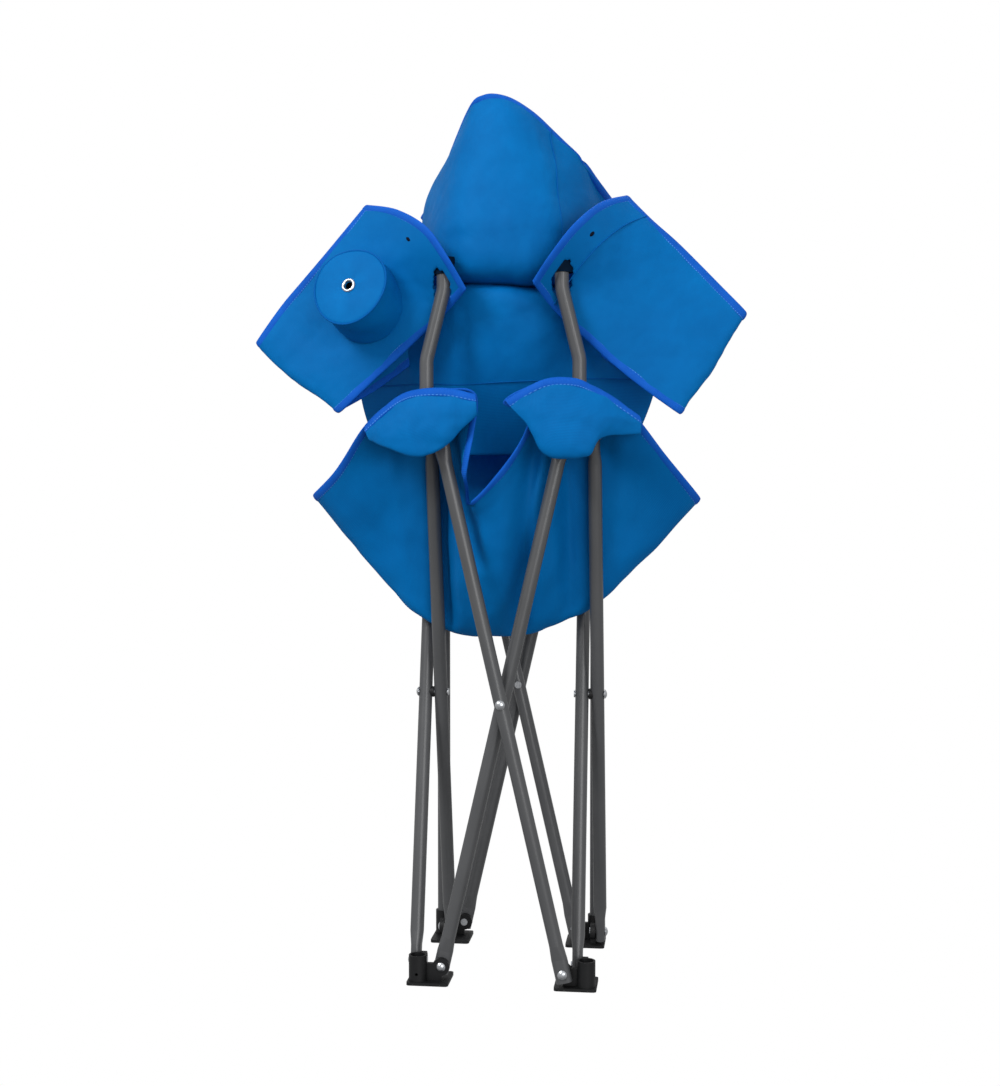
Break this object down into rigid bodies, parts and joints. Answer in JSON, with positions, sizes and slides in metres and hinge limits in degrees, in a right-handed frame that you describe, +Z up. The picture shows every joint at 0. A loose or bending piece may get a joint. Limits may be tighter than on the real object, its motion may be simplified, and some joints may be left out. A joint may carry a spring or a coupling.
{
  "type": "folding camp chair",
  "caption": "Folding camp chair with a four-sided scissor frame, padded back, hanging seat, fabric arms and a cup holder, standing nearly folded.",
  "frame": {"origin": "centre of the four feet on the ground", "axes": "+Z up, -Y to the front of the chair, +X to the right seen from the front"},
  "size_m": [0.5744, 0.2422, 1.0398],
  "materials": {
    "painted_steel": "satin powder coat",
    "moulded_plastic": "matt moulded",
    "zinc_rivets": "zinc plated",
    "woven_polyester": "tight plain weave, coated",
    "padded_polyester": "tight plain weave over wadding"
  },
  "bodies": {
    "foot_front_left": {"foot_front_left": "moulded_plastic", "foot_rivets_front_left": "zinc_rivets"},
    "foot_front_right": {"foot_front_right": "moulded_plastic", "foot_rivets_front_right": "zinc_rivets"},
    "foot_rear_right": {"foot_rear_right": "moulded_plastic", "foot_rivets_rear_right": "zinc_rivets", "upright_right": "painted_steel", "upright_cap_right": "moulded_plastic"},
    "foot_rear_left": {"foot_rear_left": "moulded_plastic", "foot_rivets_rear_left": "zinc_rivets", "upright_left": "painted_steel", "upright_cap_left": "moulded_plastic", "back": "padded_polyester"},
    "front_inner_leg": {"front_inner_leg": "painted_steel"},
    "front_outer_leg": {"front_outer_leg": "painted_steel", "front_crossing_rivet": "zinc_rivets", "front_spacer": "moulded_plastic"},
    "right_inner_leg": {"right_inner_leg": "painted_steel"},
    "right_outer_leg": {"right_outer_leg": "painted_steel", "right_crossing_rivet": "zinc_rivets", "right_spacer": "moulded_plastic"},
    "rear_inner_leg": {"rear_inner_leg": "painted_steel"},
    "rear_outer_leg": {"rear_outer_leg": "painted_steel", "rear_crossing_rivet": "zinc_rivets", "rear_spacer": "moulded_plastic"},
    "left_inner_leg": {"left_inner_leg": "painted_steel"},
    "left_outer_leg": {"left_outer_leg": "painted_steel", "left_crossing_rivet": "zinc_rivets", "left_spacer": "moulded_plastic"},
    "bracket_front_left": {"bracket_front_left": "moulded_plastic", "bracket_rivets_front_left": "zinc_rivets", "arm_post_left": "painted_steel", "post_cap_left": "moulded_plastic", "seat": "woven_polyester", "seat_flap_left": "woven_polyester", "arm_left": "woven_polyester", "cup_holder": "woven_polyester", "cup_eyelet": "zinc_rivets"},
    "bracket_front_right": {"bracket_front_right": "moulded_plastic", "bracket_rivets_front_right": "zinc_rivets", "arm_post_right": "painted_steel", "post_cap_right": "moulded_plastic", "seat_flap_right": "woven_polyester", "arm_right": "woven_polyester"},
    "slider_rear_left": {"slider_rear_left": "moulded_plastic", "slider_rivets_rear_left": "zinc_rivets"},
    "slider_rear_right": {"slider_rear_right": "moulded_plastic", "slider_rivets_rear_right": "zinc_rivets"}
  },
  "joints": [
    {"name": "fold", "type": "hinge", "parent": "foot_front_left", "child": "front_inner_leg", "pos_m": [-0.07064, -0.09463, 0.019], "axis": [0, 1, 0], "range_deg": [-10, 42], "deforming": ["seat", "back", "arm_left", "arm_right", "seat_flap_left", "seat_flap_right"]},
    {"name": "front_crossing", "type": "hinge", "parent": "front_inner_leg", "child": "front_outer_leg", "pos_m": [0, -0.09463, 0.32495], "axis": [0, 1, 0], "range_deg": [-84, 20]},
    {"name": "foot_pivot_front_right", "type": "hinge", "parent": "front_outer_leg", "child": "foot_front_right", "pos_m": [0.07064, -0.09463, 0.019], "axis": [0, 1, 0], "range_deg": [-10, 42]},
    {"name": "bracket_pivot_front_left", "type": "hinge", "parent": "front_outer_leg", "child": "bracket_front_left", "pos_m": [-0.07064, -0.09463, 0.6309], "axis": [0, 1, 0], "range_deg": [-10, 42]},
    {"name": "bracket_pivot_front_right", "type": "hinge", "parent": "front_inner_leg", "child": "bracket_front_right", "pos_m": [0.07064, -0.09463, 0.6309], "axis": [0, 1, 0], "range_deg": [-42, 10]},
    {"name": "foot_pivot_front_left_side", "type": "hinge", "parent": "foot_front_left", "child": "left_outer_leg", "pos_m": [-0.09463, -0.07064, 0.019], "axis": [1, 0, 0], "range_deg": [-42, 10]},
    {"name": "left_crossing", "type": "hinge", "parent": "left_outer_leg", "child": "left_inner_leg", "pos_m": [-0.09463, 0, 0.32495], "axis": [1, 0, 0], "range_deg": [-20, 84]},
    {"name": "foot_pivot_rear_left", "type": "hinge", "parent": "left_inner_leg", "child": "foot_rear_left", "pos_m": [-0.09463, 0.07064, 0.019], "axis": [1, 0, 0], "range_deg": [-42, 10]},
    {"name": "slider_pivot_rear_left", "type": "hinge", "parent": "left_outer_leg", "child": "slider_rear_left", "pos_m": [-0.09463, 0.07064, 0.6309], "axis": [1, 0, 0], "range_deg": [-10, 42]},
    {"name": "foot_pivot_front_right_side", "type": "hinge", "parent": "foot_front_right", "child": "right_inner_leg", "pos_m": [0.09463, -0.07064, 0.019], "axis": [-1, 0, 0], "range_deg": [-10, 42]},
    {"name": "right_crossing", "type": "hinge", "parent": "right_inner_leg", "child": "right_outer_leg", "pos_m": [0.09463, 0, 0.32495], "axis": [-1, 0, 0], "range_deg": [-84, 20]},
    {"name": "foot_pivot_rear_right", "type": "hinge", "parent": "right_outer_leg", "child": "foot_rear_right", "pos_m": [0.09463, 0.07064, 0.019], "axis": [-1, 0, 0], "range_deg": [-10, 42]},
    {"name": "slider_pivot_rear_right", "type": "hinge", "parent": "right_inner_leg", "child": "slider_rear_right", "pos_m": [0.09463, 0.07064, 0.6309], "axis": [-1, 0, 0], "range_deg": [-42, 10]},
    {"name": "foot_pivot_rear_left_side", "type": "hinge", "parent": "foot_rear_left", "child": "rear_outer_leg", "pos_m": [-0.07064, 0.09463, 0.019], "axis": [0, -1, 0], "range_deg": [-42, 10]},
    {"name": "rear_crossing", "type": "hinge", "parent": "rear_outer_leg", "child": "rear_inner_leg", "pos_m": [0, 0.09463, 0.32495], "axis": [0, -1, 0], "range_deg": [-20, 84]}
  ],
  "couplings": [
    {"joint": "front_crossing", "follows": "fold", "ratio": -2},
    {"joint": "foot_pivot_front_right", "follows": "fold", "ratio": 1},
    {"joint": "bracket_pivot_front_left", "follows": "fold", "ratio": 1},
    {"joint": "bracket_pivot_front_right", "follows": "fold", "ratio": -1},
    {"joint": "foot_pivot_front_left_side", "follows": "fold", "ratio": -1},
    {"joint": "left_crossing", "follows": "fold", "ratio": 2},
    {"joint": "foot_pivot_rear_left", "follows": "fold", "ratio": -1},
    {"joint": "slider_pivot_rear_left", "follows": "fold", "ratio": 1},
    {"joint": "foot_pivot_front_right_side", "follows": "fold", "ratio": 1},
    {"joint": "right_crossing", "follows": "fold", "ratio": -2},
    {"joint": "foot_pivot_rear_right", "follows": "fold", "ratio": 1},
    {"joint": "slider_pivot_rear_right", "follows": "fold", "ratio": -1},
    {"joint": "foot_pivot_rear_left_side", "follows": "fold", "ratio": -1},
    {"joint": "rear_crossing", "follows": "fold", "ratio": 2}
  ]
}
